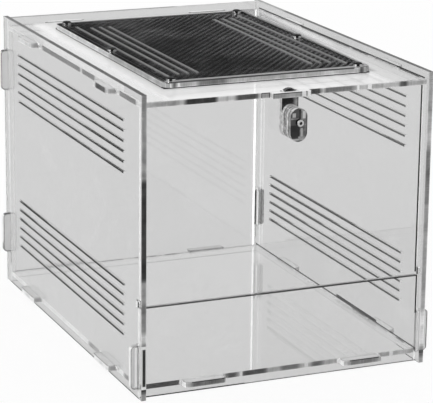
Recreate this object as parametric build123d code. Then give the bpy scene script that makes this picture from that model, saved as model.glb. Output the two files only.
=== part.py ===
from build123d import *
import os
from math import sqrt

# A front-opening animal case cut from clear acrylic sheet.
# X runs to the right, Y runs from the door to the back and Z is up. Lengths are in millimetres.
# The origin is on the ground, in the middle of the whole object's outline.

# Sheet and case
sheet = 5.0  # thickness of every cut panel
case_width = 300.0  # over the outer faces of the two side panels
case_depth = 412.0  # front edge to back edge of a side panel
case_height = 295.0  # bottom edge to top edge of a side panel
wall_setback = 8.0  # the front and back walls stand this far inside the side panels' ends
rim_height = 8.0  # the walls rise this far above the top panel
foot_height = 7.0  # the floor panel's underside above the ground
front_wall_height = 89.0  # the fixed lower front wall
top_setback = 4.4  # the top panel's front edge behind the side panels' front edges

# Tab joints between the panels
tab_length = 43.0
tab_reach = 7.5  # how far a tab stands out past the outer face that it passes through
tab_corner = 4.0
joint_clearance = 0.1  # air all round a tab and at each shoulder
relief_radius = 3.0  # round relief at each end of a mortise
relief_inset = 1.0  # the relief's centre inside the tab's end
side_tab_offset = 114.0  # tabs of the top and the floor, each way from mid depth
cross_tab_offset = 83.5  # tabs through the front and back walls, each way from mid width
back_tab_offset = 91.0  # tabs of the back wall, each way from mid height
front_tab_height = 31.0  # tab of the lower front wall, above the ground

# Air slots in the side panels
slot_width = 2.0
slot_pitch = 10.0
slot_rows = 6
slot_margin = 47.0  # from each end of the side panel to the slots' ends
upper_slot_drop = 33.5  # from the side panel's top edge to the highest slot
lower_slot_height = 51.5  # from the ground to the lowest slot

# Vent in the top panel: an opening, a net over it and a slotted cover plate
cover_width = 217.0
cover_length = 314.0
cover_corner = 8.0
cover_shift = 5.0  # the vent's centre behind the top panel's own centre
long_slot_inset = 15.4  # from the cover plate's edge to the long slot beside the screws
long_slot_length = 265.0
cover_slot_inset = 28.5  # from the cover plate's edge to the first of the inner slots
cover_slot_pitch = 10.0
cover_slot_count = 3  # inner slots on each side
cover_slot_length = 246.0
opening_margin_x = 26.0  # the opening's sides inside the cover plate's sides
opening_margin_y = 17.0
net_thickness = 1.2
net_margin = 0.5  # the net's edge inside the cover plate's edge
net_columns = 10
net_rows = 14
net_strand = 2.5

# Vent screws, tapped into the top panel
vent_screw_inset_x = 10.5  # from the cover plate's sides to the corner screws' centres
vent_screw_inset_y = 9.0
middle_screw_inset = 6.7  # from the cover plate's sides to the middle screws' centres
vent_shank = 5.0
vent_screw_length = 10.5
vent_head = 9.5
vent_head_height = 3.2
vent_socket = 3.0
screw_clearance = 0.15  # on the radius, in the plain holes
thread_clearance = 0.05  # on the radius, in nuts, washers and tapped holes
vent_head_bevel = 1.4
socket_share = 0.6  # depth of the socket as a share of the head's height

# Door and its pivots
hinge_hole = 8.5
hinge_clearance = 0.1  # on the radius, at the pivot ear's corners
hinge_rise = 4.5  # the pivot axis above the lower front wall's top edge
door_bottom_gap = 1.0
door_side_gap = 1.0
door_top_gap = 0.6
ear_reach = 0.5  # the ears' ends past the side panels' outer faces

# Sliding latch on the door
knob_width = 17.0
knob_height = 32.0
knob_layers = 4  # discs glued in front of the bolt plate
knob_drop = 23.0  # the knob's centre below the top panel's underside
bolt_rise = 2.8  # the bolt's tip above the top panel's upper face
latch_travel = 11.0
slide_clearance = 0.3  # between the bolt and the sides of its slot in the keeper
face_clearance = 0.2  # between the latch and the door's two faces
keeper_width = 40.0
keeper_wall = 4.7  # material in front of the bolt
keeper_corner = 2.0
latch_shank = 4.0
latch_screw_rise = 2.5  # the screw above the knob's centre
latch_head = 7.0
latch_head_height = 4.0
latch_head_bevel = 0.4
latch_socket = 3.0
latch_washer = 12.0
washer_thickness = 1.0
latch_nut = 7.0  # across flats
latch_nut_height = 4.7

# Where the main faces lie
latch_depth = face_clearance + (knob_layers + 1) * sheet + latch_head_height
front_reach = latch_depth + knob_layers * joint_clearance - wall_setback
side_front = front_reach - (case_depth + front_reach) / 2
side_back = side_front + case_depth
side_middle = (side_front + side_back) / 2
outer_x = case_width / 2
inner_x = outer_x - sheet
front_face = side_front + wall_setback
front_inner = front_face + sheet
back_face = side_back - wall_setback
back_inner = back_face - sheet
top_face = case_height - rim_height
top_underside = top_face - sheet
floor_face = foot_height + sheet
top_front = side_front + top_setback
half_inside = inner_x - joint_clearance
tab_out = sheet + tab_reach
hinge_height = front_wall_height + hinge_rise
hinge_y = front_face + sheet / 2
knob_height_z = top_underside - knob_drop
latch_screw_z = knob_height_z + latch_screw_rise
bolt_back = front_face - face_clearance
vent_y = (top_front + back_inner) / 2 + cover_shift
net_bottom = top_face
cover_bottom = net_bottom + net_thickness
cover_top = cover_bottom + sheet

# Drawing planes: local x is the first axis named and local y is the second
side_plane = Plane(origin=(0, 0, 0), x_dir=(0, 1, 0), z_dir=(1, 0, 0))
wall_plane = Plane(origin=(0, 0, 0), x_dir=(1, 0, 0), z_dir=(0, -1, 0))


def block(x_low, x_high, y_low, y_high):
    """A rectangle between two corners."""
    width = x_high - x_low
    height = y_high - y_low
    return Pos((x_low + x_high) / 2, (y_low + y_high) / 2) * Rectangle(width, height)


def tab(x, y, along_x):
    """A tab across an edge at (x, y): the half beyond the edge reaches through the next panel."""
    across = 2 * (tab_out + joint_clearance)
    width = tab_length if along_x else across
    height = across if along_x else tab_length
    return Pos(x, y) * RectangleRounded(width, height, tab_corner)


def mortise(x, y, along_x):
    """The hole for a tab, with a round relief at each end."""
    long_side = tab_length + 2 * joint_clearance
    short_side = sheet + 2 * joint_clearance
    reach = tab_length / 2 - relief_inset
    hole = Rectangle(long_side, short_side)
    hole += Pos(reach, 0) * Circle(relief_radius)
    hole += Pos(-reach, 0) * Circle(relief_radius)
    turn = 0 if along_x else 90
    return Pos(x, y) * Rot(0, 0, turn) * hole


def side_sheet(profile, x_low):
    """Stands a Y-Z profile up as a sheet whose lower X face is at x_low."""
    return Pos(x_low, 0, 0) * extrude(side_plane * profile, sheet)


def wall_sheet(profile, y_low):
    """Stands an X-Z profile up as a sheet whose lower Y face is at y_low."""
    return Pos(0, y_low + sheet, 0) * extrude(wall_plane * profile, sheet)


def flat_sheet(profile, z_low, thickness=sheet):
    """Lays an X-Y profile flat as a sheet whose lower face is at z_low."""
    return Pos(0, 0, z_low) * extrude(profile, thickness)


def both_ways(middle, offset):
    return [middle - offset, middle + offset]


def make_side_panel(x_low):
    """Side panel: five pairs of mortises, the pivot hole and two groups of air slots."""
    panel = block(side_front, side_back, 0, case_height)
    for y in both_ways(side_middle, side_tab_offset):
        panel -= mortise(y, top_face - sheet / 2, True)
        panel -= mortise(y, floor_face - sheet / 2, True)
    for z in both_ways(case_height / 2, back_tab_offset):
        panel -= mortise(back_face - sheet / 2, z, False)
    panel -= mortise(front_face + sheet / 2, front_tab_height, False)
    panel -= Pos(hinge_y, hinge_height) * Circle(hinge_hole / 2)
    slot_length = case_depth - 2 * slot_margin
    for row in range(slot_rows):
        for z in (case_height - upper_slot_drop - row * slot_pitch, lower_slot_height + row * slot_pitch):
            panel -= Pos(side_middle, z) * Rectangle(slot_length, slot_width)
    return side_sheet(panel, x_low)


def make_back_panel():
    """Back wall: full height, two tabs through each side panel, mortises for the top and the floor."""
    wall = block(-half_inside, half_inside, 0, case_height)
    for z in both_ways(case_height / 2, back_tab_offset):
        for x in (-half_inside, half_inside):
            wall += tab(x, z, False)
    for x in both_ways(0, cross_tab_offset):
        wall -= mortise(x, top_face - sheet / 2, True)
        wall -= mortise(x, floor_face - sheet / 2, True)
    return wall_sheet(wall, back_inner)


def make_lower_front_panel():
    """Low fixed front wall under the door: it keeps the ground cover in when the door is open."""
    wall = block(-half_inside, half_inside, 0, front_wall_height)
    for x in (-half_inside, half_inside):
        wall += tab(x, front_tab_height, False)
    for x in both_ways(0, cross_tab_offset):
        wall -= mortise(x, floor_face - sheet / 2, True)
    return wall_sheet(wall, front_face)


def make_floor_panel():
    """Floor: two tabs through each of the four walls."""
    front = front_inner + joint_clearance
    back = back_inner - joint_clearance
    floor = block(-half_inside, half_inside, front, back)
    for y in both_ways(side_middle, side_tab_offset):
        for x in (-half_inside, half_inside):
            floor += tab(x, y, False)
    for x in both_ways(0, cross_tab_offset):
        for y in (front, back):
            floor += tab(x, y, True)
    return flat_sheet(floor, foot_height)


def vent_screw_places():
    half_y = cover_length / 2 - vent_screw_inset_y
    rows = [(-half_y, vent_screw_inset_x), (0, middle_screw_inset), (half_y, vent_screw_inset_x)]
    return [(side * (cover_width / 2 - inset), vent_y + y) for side in (-1, 1) for y, inset in rows]


def vent_holes(clearance):
    return [Pos(x, y) * Circle(vent_shank / 2 + clearance) for x, y in vent_screw_places()]


def make_top_panel():
    """Top: tabs on three sides, the vent opening, and the keeper with its slot for the bolt in front."""
    back = back_inner - joint_clearance
    top = block(-half_inside, half_inside, top_front, back)
    for y in both_ways(side_middle, side_tab_offset):
        for x in (-half_inside, half_inside):
            top += tab(x, y, False)
    for x in both_ways(0, cross_tab_offset):
        top += tab(x, back, True)
    bolt_front = bolt_back - sheet
    keeper_front = bolt_front - slide_clearance - keeper_wall
    keeper_reach = top_front - keeper_front
    top += Pos(0, top_front) * RectangleRounded(keeper_width, 2 * keeper_reach, keeper_corner)
    half_slot = knob_width / 2 + slide_clearance
    top -= block(-half_slot, half_slot, bolt_front - slide_clearance, bolt_back + slide_clearance)
    opening_width = cover_width - 2 * opening_margin_x
    opening_length = cover_length - 2 * opening_margin_y
    top -= Pos(0, vent_y) * RectangleRounded(opening_width, opening_length, cover_corner)
    top -= vent_holes(thread_clearance)
    return flat_sheet(top, top_underside)


def make_vent_net():
    """Air net: one flat sheet of crossing strands with a plain border, holed for the screws."""
    width = cover_width - 2 * net_margin
    length = cover_length - 2 * net_margin
    border_x = vent_screw_inset_x - net_margin + vent_shank
    border_y = vent_screw_inset_y - net_margin + vent_shank
    pitch_x = (width - 2 * border_x + net_strand) / net_columns
    pitch_y = (length - 2 * border_y + net_strand) / net_rows
    net = RectangleRounded(width, length, cover_corner - net_margin)
    gap = Rectangle(pitch_x - net_strand, pitch_y - net_strand)
    net -= GridLocations(pitch_x, pitch_y, net_columns, net_rows) * gap
    return flat_sheet(Pos(0, vent_y) * net - vent_holes(screw_clearance), net_bottom, net_thickness)


def make_vent_cover():
    """Cover plate: clamps the net down, with a group of long air slots along each side."""
    cover = Pos(0, vent_y) * RectangleRounded(cover_width, cover_length, cover_corner)
    for x in both_ways(0, cover_width / 2 - long_slot_inset):
        cover -= Pos(x, vent_y) * Rectangle(slot_width, long_slot_length)
    for index in range(cover_slot_count):
        for x in both_ways(0, cover_width / 2 - cover_slot_inset - index * cover_slot_pitch):
            cover -= Pos(x, vent_y) * Rectangle(slot_width, cover_slot_length)
    return flat_sheet(cover - vent_holes(screw_clearance), cover_bottom)


def socket_screw(shank, length, head, head_height, bevel, socket):
    """Hex socket screw standing on its shank, with the underside of its head at the origin."""
    cap = extrude(Circle(head / 2), head_height)
    cap = chamfer(cap.edges().sort_by(Axis.Z)[-1], bevel)
    stem = Pos(0, 0, -length) * extrude(Circle(shank / 2), length)
    recess = RegularPolygon(socket / 2, 6, major_radius=False)
    depth = socket_share * head_height
    return cap + stem - Pos(0, 0, head_height - depth) * extrude(recess, depth)


def hex_nut(across, height, shank):
    nut = RegularPolygon(across / 2, 6, major_radius=False) - Circle(shank / 2 + thread_clearance)
    return extrude(nut, height)


def flat_washer(diameter, shank):
    return extrude(Circle(diameter / 2) - Circle(shank / 2 + thread_clearance), washer_thickness)


def make_door():
    """Door: a plain pane with a pivot ear at each lower corner and a slot that guides the latch's screw."""
    half_width = inner_x - door_side_gap
    bottom = front_wall_height + door_bottom_gap
    top = top_underside - door_top_gap
    pane = block(-half_width, half_width, bottom, top)
    ear_diagonal = hinge_hole - 2 * hinge_clearance
    ear_height = sqrt(ear_diagonal**2 - sheet**2)
    ear_end = outer_x + ear_reach
    pane += block(-ear_end, ear_end, hinge_height - ear_height / 2, hinge_height + ear_height / 2)
    slot_across = latch_shank + 2 * slide_clearance
    slot_middle = latch_screw_z - latch_travel / 2
    pane -= Pos(0, slot_middle) * Rot(0, 0, 90) * SlotOverall(latch_travel + slot_across, slot_across)
    return wall_sheet(pane, front_face)


def latch_hole():
    return Pos(0, latch_screw_z) * Circle(latch_shank / 2 + screw_clearance)


def make_bolt():
    """Bolt plate: as wide as the knob, round at both ends, its tip up through the keeper."""
    tip = top_face + bolt_rise
    foot = knob_height_z - knob_height / 2
    bolt = Pos(0, (tip + foot) / 2) * Rot(0, 0, 90) * SlotOverall(tip - foot, knob_width)
    return wall_sheet(bolt - latch_hole(), bolt_back - sheet)


def layer_front(index):
    return bolt_back - sheet - (index + 1) * (sheet + joint_clearance)


def make_knob_layer(index):
    """One disc of the knob, glued to the piece behind it."""
    disc = Pos(0, knob_height_z) * Rot(0, 0, 90) * SlotOverall(knob_height, knob_width)
    return wall_sheet(disc - latch_hole(), layer_front(index))


def on_latch_axis(piece, y):
    """Turns a piece that stands along Z to point forwards, with its base at the given Y."""
    return Pos(0, y, latch_screw_z) * Rot(90, 0, 0) * piece


nodes = {
    "left_side_panel": make_side_panel(-outer_x),
    "right_side_panel": make_side_panel(inner_x),
    "back_panel": make_back_panel(),
    "floor_panel": make_floor_panel(),
    "top_panel": make_top_panel(),
    "lower_front_panel": make_lower_front_panel(),
    "vent_net": make_vent_net(),
    "vent_cover": make_vent_cover(),
    "front_door": make_door(),
    "latch_bolt": make_bolt(),
}

vent_screw = socket_screw(
    vent_shank, vent_screw_length, vent_head, vent_head_height, vent_head_bevel, vent_socket
)
for number, (x, y) in enumerate(vent_screw_places(), 1):
    nodes["vent_screw_%d" % number] = Pos(x, y, cover_top) * vent_screw

for index in range(knob_layers):
    nodes["latch_knob_layer_%d" % (index + 1)] = make_knob_layer(index)

knob_front = layer_front(knob_layers - 1)
washer_back = front_inner + face_clearance + washer_thickness
nut_back = washer_back + latch_nut_height
latch_screw_length = nut_back - knob_front
latch_screw = socket_screw(
    latch_shank, latch_screw_length, latch_head, latch_head_height, latch_head_bevel, latch_socket
)
nodes["latch_screw"] = on_latch_axis(latch_screw, knob_front)
nodes["latch_washer"] = on_latch_axis(flat_washer(latch_washer, latch_shank), washer_back)
nodes["latch_nut"] = on_latch_axis(hex_nut(latch_nut, latch_nut_height, latch_shank), nut_back)

os.makedirs("parts", exist_ok=True)
for name, shape in nodes.items():
    export_step(shape, "parts/" + name + ".step")
print("hinge axis y %.3f z %.3f, latch axis z %.3f" % (hinge_y, hinge_height, latch_screw_z))
print("side panels from y %.3f to %.3f" % (side_front, side_back))
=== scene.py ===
import bpy
import numpy as np
from math import radians, sin, cos
from mathutils import Matrix, Vector


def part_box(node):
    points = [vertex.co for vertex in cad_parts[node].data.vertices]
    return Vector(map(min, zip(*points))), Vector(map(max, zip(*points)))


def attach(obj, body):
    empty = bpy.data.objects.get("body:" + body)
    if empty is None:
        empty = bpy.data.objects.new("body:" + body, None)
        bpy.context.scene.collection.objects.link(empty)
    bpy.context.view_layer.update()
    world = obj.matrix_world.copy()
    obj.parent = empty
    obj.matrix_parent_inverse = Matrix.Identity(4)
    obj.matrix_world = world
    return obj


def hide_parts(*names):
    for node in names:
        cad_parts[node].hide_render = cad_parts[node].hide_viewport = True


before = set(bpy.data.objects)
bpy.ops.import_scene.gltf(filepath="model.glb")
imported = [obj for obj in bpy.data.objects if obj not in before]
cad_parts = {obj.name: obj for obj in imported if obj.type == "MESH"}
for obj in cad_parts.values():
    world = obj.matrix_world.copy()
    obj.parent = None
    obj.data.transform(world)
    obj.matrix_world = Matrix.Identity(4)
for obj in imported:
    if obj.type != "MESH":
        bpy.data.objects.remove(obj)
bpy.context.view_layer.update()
scene = bpy.context.scene
print("frame loaded:", len(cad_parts), "nodes")


def toLinear(hexColour):
    # each sRGB channel back to linear light: a straight foot under 0.04045 and a 2.4 power above it
    channels = [int(hexColour[i:i + 2], 16) / 255 for i in (1, 3, 5)]
    return [c / 12.92 if c <= 0.04045 else ((c + 0.055) / 1.055) ** 2.4 for c in channels] + [1.0]


def addNode(tree, kind, inputs=None, **settings):
    # one node: settings are its own properties, inputs are sockets by name or number, each a value or a link
    node = tree.nodes.new(kind)
    for key, value in settings.items():
        setattr(node, key, value)
    for key, value in (inputs or {}).items():
        if isinstance(value, bpy.types.NodeSocket):
            tree.links.new(value, node.inputs[key])
        else:
            node.inputs[key].default_value = value
    return node


def newMaterial(name):
    material = bpy.data.materials.new(name)
    material.use_nodes = True
    material.node_tree.nodes.clear()
    return material, material.node_tree


view = {
    "place": (-0.84497, -1.99498, 0.73286),  # metres, before the case and to its left, a little above
    "turn": 23.1609,  # degrees from straight back towards the right
    "dip": 15.5503,  # degrees below level
    "lean": 0.6307,  # degrees that the camera is tipped to one side
    "lens": 181.194,
    "sensor": 36,
    "farLimit": 50,
}


def addCamera():
    # right, up and back axes from turn, dip and lean, set as the columns of the camera's matrix
    turn, dip, lean = radians(view["turn"]), radians(view["dip"]), radians(view["lean"])
    ahead = Vector((sin(turn) * cos(dip), cos(turn) * cos(dip), -sin(dip)))
    level = Vector((cos(turn), -sin(turn), 0))
    above = level.cross(ahead)
    right = cos(lean) * level + sin(lean) * above
    up = cos(lean) * above - sin(lean) * level
    camera = bpy.data.objects.new("camera", bpy.data.cameras.new("camera"))
    scene.collection.objects.link(camera)
    camera.data.lens = view["lens"]
    camera.data.sensor_width = view["sensor"]
    camera.data.clip_end = view["farLimit"]
    axes = Matrix((right, up, -ahead)).transposed().to_4x4()
    camera.matrix_world = Matrix.Translation(view["place"]) @ axes
    scene.camera = camera


addCamera()
scene.view_settings.view_transform = "Standard"
print("camera set")

# clear cast acrylic, laser cut: broad faces like glass with faint wiping smears; cut edges that carry painted
# reflections and shade, in stretches of dark and white along them, finely combed by the cutter
acrylicLook = {
    "body": "#fdfdfd",
    "bend": 1.49,  # refractive index of acrylic
    "dark": "#060606",  # the cut faces' tone 0, painted shade
    "white": "#fcfcfc",  # their tone 1, painted light
    "toneCurve": 2.2,  # a tone for the eye, raised to this power, is linear light
    "cutRoughness": 0.3,
    "cutShine": 0.25,
    "soft": 2.5,  # mm over which one stretch turns into the next
    "rim": 0.14,  # a painted highlight makes both arrises of a cut face this much lighter than its middle
    "rimFrom": (0.5, 0.95),  # where they start and are full, as shares of the way from middle to arris
    "striation": 0.0008,  # metres, drawn four times coarser than the cutter leaves them, so that they show
    "straightness": 20,  # they run this many times longer across the sheet
    "combing": 0.05,  # change of tone by the striations
    "combDepth": 0.0002,
    "combStrength": 0.2,
    "patch": 0.012,  # metres across a cloudy patch
    "patches": 0.06,  # change of tone by the patches
    "smear": 0.035,  # metres across a wiping smear
    "smears": 0.03,  # haze of the strongest smears
    "filmFacing": (0.66, 0.86),  # Layer Weight values between which a film comes in
    "filmLeft": 0.12,  # share of a film beyond its reach
    "haze": "#f9f9f9",
    "shadow": "#f6f6f6",  # light that a sheet's shadow keeps
}
# per piece: "broad" is the axis that the sheet's broad faces point along. Then, for faces by the way they
# # point: share that is not clear, tone from dark 0 to white 1, and stretches of another tone along the edge as
# # (from, to, tone), in mm from the case's left, front and bottom; these tones are painted reflections and
# shade.
# # On the ways that "outlined" names, only faces on the sheet's outline take these, and cut faces inside it
# # (mortises and slots) take "inner", or "innerFar" where they face right. "lines" are painted over them and
# over
# # the tabs and slots further down, most of them painted shade and painted highlights on joints and arrises
# that
# # show as thin lines: way, room taken in mm, share and tone. "film" is a haze at low angles, and "filmReach"
# how
# # far it goes each way in metres: full to, gone at, shift. "rim", "patches" and "patchSize" take the place of
# the
# # values above
edgeLooks = {
    "left_side_panel": {
        "broad": "X", "outlined": ("Y-", "Y+", "Z+", "Z-"), "inner": (0.5, 0.9),
        "Y-": (0.97, 0.58, [(8, 52, 0.12), (56, 66, 0.85), (86, 96, 0.45), (118, 214, 0.22)]),
        "Y+": (0.7, 0.8, [(40, 90, 0.4), (170, 210, 0.5)]),
        "Z+": (0.95, 0.16, [(265, 420, 0.34)]),
        "Z-": (0.2, 0.05, []),
        "lines": [
            ("X-", {"Z": (0, 1.1), "Y": (6, 400)}, 0.95, 0.05),  # bottom edge, painted shade
            ("X-", {"Z": (289, 295), "Y": (0, 45)}, 0.45, 0.72),  # painted grey shade on the front top corner
            # painted shade at the ends of the top's mortises
            ("Y+", {"Z": (280, 289)}, 0.9, 0.2), ("Y-", {"Z": (280, 289), "Y": (20, 420)}, 0.9, 0.2),
            # painted shade in the pivot hole
            ("Z+", {"Z": (84, 103), "Y": (4, 18)}, 0.9, 0.2),
            ("Y+", {"Z": (84, 103), "Y": (4, 18)}, 0.9, 0.2),
            # painted highlights on the sides and ends round the mortise in the front edge, which is dark with
            # painted shade
            ("Y-", {"X": (0, 1.3), "Z": (12, 54)}, 0.95, 0.9),
            ("Y-", {"X": (4.2, 5), "Z": (12, 54)}, 0.95, 0.8), ("Y-", {"Z": (11, 14)}, 0.95, 0.95),
            ("Y-", {"Z": (51, 54)}, 0.95, 0.95),
        ],
    },
    "right_side_panel": {
        "broad": "X", "outlined": ("Y-", "Y+", "Z+", "Z-"), "inner": (0.5, 0.9),
        "Y-": (0.97, 0.66, [(6, 14, 0.5), (18, 54, 0.92), (164, 218, 0.5), (222, 255, 0.74)]),
        "Y+": (0.7, 0.8, [(40, 90, 0.4), (170, 210, 0.5)]),
        "Z+": (0.95, 0.28, [(335, 420, 0.6)]),
        "Z-": (0.2, 0.05, []),
        "lines": [
            # painted shade along the joint with the floor, wider in the middle
            ("X-", {"Z": (12, 13.6), "Y": (8, 400)}, 0.9, 0.15),
            ("X-", {"Z": (12, 15.8), "Y": (95, 188)}, 0.97, 0.0),
            ("X-", {"Z": (0, 0.9), "Y": (6, 50)}, 0.95, 0.1),  # bottom edge, painted shade
            ("X-", {"Z": (287, 288.4), "Y": (8, 400)}, 0.95, 0.05),  # painted shade along the joint with the top
            # pivot hole: painted shade above, painted highlight at the front
            ("Z+", {"Z": (84, 103), "Y": (4, 18)}, 0.8, 0.25),
            ("Y-", {"Z": (84, 103), "Y": (4, 18)}, 0.8, 0.9),
            # painted highlight beside the back panel's lower tab
            ("X-", {"Z": (36, 77), "Y": (394.6, 398.9)}, 0.9, 1.0),
            # painted shade at the ends of the top's and the floor's mortises
            ("Y+", {"Z": (280, 289)}, 0.9, 0.25), ("Y+", {"Z": (5, 14)}, 0.9, 0.25),
            ("Y-", {"Z": (10, 13)}, 0.95, 0.3),
        ],
    },
    "back_panel": {
        "broad": "Y", "outlined": ("Z+", "Z-"), "inner": (0.85, 0.35),
        "X-": (0.9, 0.95, [(20, 45, 0.6)]),
        "X+": (0.9, 0.95, [(20, 45, 0.6)]),
        "Z+": (0.9, 0.55, [(195, 310, 0.8)]),
        "Z-": (0.95, 0.05, []),
        "lines": [
            # painted shade on the lower right tab, and along the line where it enters the wall
            ("Y-", {"X": (301, 307), "Z": (36, 77)}, 0.97, 0.12),
            ("Y-", {"X": (292, 294.6), "Z": (36, 77)}, 0.95, 0.2),
        ],
    },
    "floor_panel": {
        "broad": "Z", "film": 0.16,
        "Y-": (0.97, 0.7, [(8, 43, 0.1), (52, 86, 0.42), (93, 103, 0.25), (110, 134, 0.12), (150, 169, 0.35),
                           (183, 195, 0.35), (219, 251, 0.48)]),
        "Y+": (0.95, 0.15, []),
        "X-": (0.95, 0.95, [(34, 50, 0.45), (118, 150, 0.5)]),
        "X+": (0.95, 0.3, [(95, 190, 0.02)]),
        "lines": [
            # painted shade on the upper arris of the front tabs
            ("Y-", {"X": (52, 88), "Z": (11.1, 12)}, 0.95, 0.2),
            ("Y-", {"X": (219, 251), "Z": (11.1, 12)}, 0.95, 0.2),
            # painted glints beside the dark stretches of painted shade
            ("Y-", {"X": (106, 109)}, 0.95, 0.98), ("Y-", {"X": (175, 179)}, 0.95, 0.95),
            ("Y-", {"X": (268, 272)}, 0.95, 0.98),
        ],
    },
    "top_panel": {
        "broad": "Z", "film": 0.9, "filmReach": (0.112, 0.12, 0.007),
        "Y-": (0.97, 0.74, [(8, 36, 0.62), (45, 76, 0.1), (96, 118, 0.26), (122, 165, 0.62), (171, 183, 0.2),
                            (186, 216, 0.45), (266, 274, 0.28)]),
        "Y+": (0.95, 0.2, []),
        "X-": (0.97, 0.85, [(20, 60, 0.03), (76, 102, 0.2), (130, 164, 0.0), (172, 286, 0.06)]),
        "X+": (0.95, 0.1, []),
        "lines": [
            # painted shade on the keeper's upper arris and its left end
            ("Y-", {"X": (121, 165), "Z": (286.1, 287)}, 0.95, 0.25), ("Y-", {"X": (129, 131)}, 0.95, 0.3),
            ("Y-", {"X": (121, 122)}, 0.95, 0.3),
            # painted glints beside the dark stretches of painted shade
            ("Y-", {"X": (160, 164)}, 0.95, 0.95), ("Y-", {"X": (166, 169)}, 0.95, 1.0),
            ("Y-", {"X": (220.5, 223)}, 0.95, 1.0), ("Y-", {"X": (232, 236)}, 0.95, 1.0),
        ],
    },
    "lower_front_panel": {
        "broad": "Y", "outlined": ("Z+", "Z-"), "inner": (0.5, 0.9),
        "X-": (0.95, 1.0, []), "X+": (0.9, 0.93, []),
        "Z+": (0.95, 0.1, [(20, 112, 0.26), (116, 126, 0.6), (140, 232, 0.05)]),
        "Z-": (0.2, 0.05, []),
        "lines": [
            # bottom edge, painted shade
            ("Y-", {"Z": (0, 1.2), "X": (0, 110)}, 0.95, 0.05),
            ("Y-", {"Z": (0, 0.8), "X": (110, 300)}, 0.9, 0.25),
            ("Y-", {"Z": (88.3, 89), "X": (6, 293)}, 0.9, 0.2),  # top edge, painted shade
            ("Y-", {"X": (292.9, 294.5), "Z": (50, 89)}, 0.97, 0.0),  # right end, painted shade
            # left tab, as three bars of painted highlight and shade
            ("Y-", {"X": (-3.4, -0.8), "Z": (12, 51)}, 0.95, 1.0),
            ("Y-", {"X": (-0.7, 0.0), "Z": (10, 53)}, 0.9, 0.35),
            ("Y-", {"X": (-6.4, -3.6), "Z": (12, 51)}, 0.5, 0.82),
            # right tab, painted shade and highlight
            ("Y-", {"X": (306.4, 307.5), "Z": (12, 52)}, 0.9, 0.25),
            ("Y-", {"X": (301, 303), "Z": (14, 50)}, 0.9, 0.8),
        ],
    },
    "front_door": {
        "broad": "Y",
        "X-": (0.95, 1.0, []), "X+": (0.9, 0.93, []), "Z+": (0.5, 0.5, []), "Z-": (0.6, 0.3, []),
        "lines": [
            ("Y-", {"X": (291.2, 292.8), "Z": (93, 281)}, 0.97, 0.0),  # right end, painted shade
            # right pivot ear: a painted highlight between lines of painted shade
            ("Y-", {"X": (293.6, 295), "Z": (90, 99)}, 0.9, 0.25),
            ("Y-", {"X": (295.2, 298.6), "Z": (90, 99)}, 0.95, 1.0),
            ("Y-", {"X": (298.8, 300.5), "Z": (90, 99)}, 0.9, 0.25),
            # left pivot ear: a painted highlight between lines of painted shade
            ("Y-", {"X": (-0.5, 1), "Z": (90, 99)}, 0.9, 0.25),
            ("Y-", {"X": (1.2, 4.4), "Z": (90, 99)}, 0.95, 1.0),
            ("Y-", {"X": (4.8, 6.2), "Z": (90, 99)}, 0.9, 0.25),
        ],
    },
    "vent_cover": {
        "broad": "Z", "outlined": ("X-", "X+", "Y-", "Y+"), "inner": (0.9, 0.7), "innerFar": (0.9, 0.3),
        "Y-": (0.97, 0.74, [(36, 45, 0.98), (46, 49, 1.0), (50, 54, 0.4), (55, 58, 1.0), (76, 104, 0.5),
                            (202, 242, 0.8), (246, 250, 0.35)]),
        "Y+": (0.95, 0.3, []),
        "X-": (0.95, 0.82, [(40, 200, 0.66)]),
        "X+": (0.9, 0.22, []),
        "lines": [
            ("Y-", {"X": (44, 240), "Z": (292.3, 293.2)}, 0.95, 0.35),  # front edge's upper arris, painted shade
            ("Z+", {"X": (45, 256), "Y": (52, 58.5)}, 0.55, 0.8),  # front border of the top face
            # slots' walls, clear low down
            ("X-", {"X": (44, 256), "Z": (280, 290.2)}, 0.0, 0.5),
            ("X-", {"X": (44, 256), "Z": (290.2, 291.6)}, 0.9, 0.5),
            ("X+", {"Z": (292.3, 293.2), "Y": (60, 380)}, 0.95, 0.85),  # right edge's upper arris, painted highlight
        ],
    },
    "latch_bolt": {
        "broad": "Y", "patches": 0.12, "patchSize": 0.004,
        # painted shade across the bolt's front face above the knob; painted light on its left flank, painted
        # shade on its right
        "Y-": (0.95, 0.7, [(138, 154.5, 0.12), (156.5, 160, 0.25)]),
        "X-": (0.8, 0.8, []), "X+": (0.8, 0.3, []),
    },
    "latch_knob_layer_4": {
        # painted shade on the arrises ("rim" below zero), with painted highlights and shade on the face below
        "broad": "Y", "rim": -0.35, "patches": 0.14, "patchSize": 0.006,
        "Y-": (0.88, 0.5, []), "X-": (0.7, 0.65, []), "X+": (0.7, 0.35, []), "Z+": (0.6, 0.9, []),
        "Z-": (0.7, 0.6, []),
        "lines": [
            # painted shade upper left
            ("Y-", {"X": (141.5, 150), "Z": (266, 275)}, 0.9, 0.3),
            ("Y-", {"X": (149.8, 152), "Z": (264, 274)}, 0.9, 0.15),
            # painted highlights either side of the screw
            ("Y-", {"X": (143.2, 146.6), "Z": (266.5, 270.5)}, 0.9, 0.75),
            ("Y-", {"X": (153.6, 156.6), "Z": (265, 272)}, 0.9, 0.85),
            # painted shade lower left
            ("Y-", {"X": (141, 151), "Z": (248, 259)}, 0.95, 0.15),
            ("Y-", {"X": (141, 149.4), "Z": (246.2, 248)}, 0.95, 0.2),
            ("Y-", {"X": (141, 148), "Z": (259, 264.5)}, 0.9, 0.3),  # half painted shade left of the screw
            # painted highlight bar and painted shade on the right rim
            ("Y-", {"X": (152, 154), "Z": (248, 256)}, 0.85, 0.72), ("Y-", {"X": (157.6, 158.5)}, 0.9, 0.25),
            # painted highlight and painted shade on the lower rim
            ("Y-", {"X": (143, 150), "Z": (244.4, 245.6)}, 0.9, 0.75), ("Y-", {"Z": (243, 244.2)}, 0.9, 0.3),
        ],
    },
}
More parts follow.
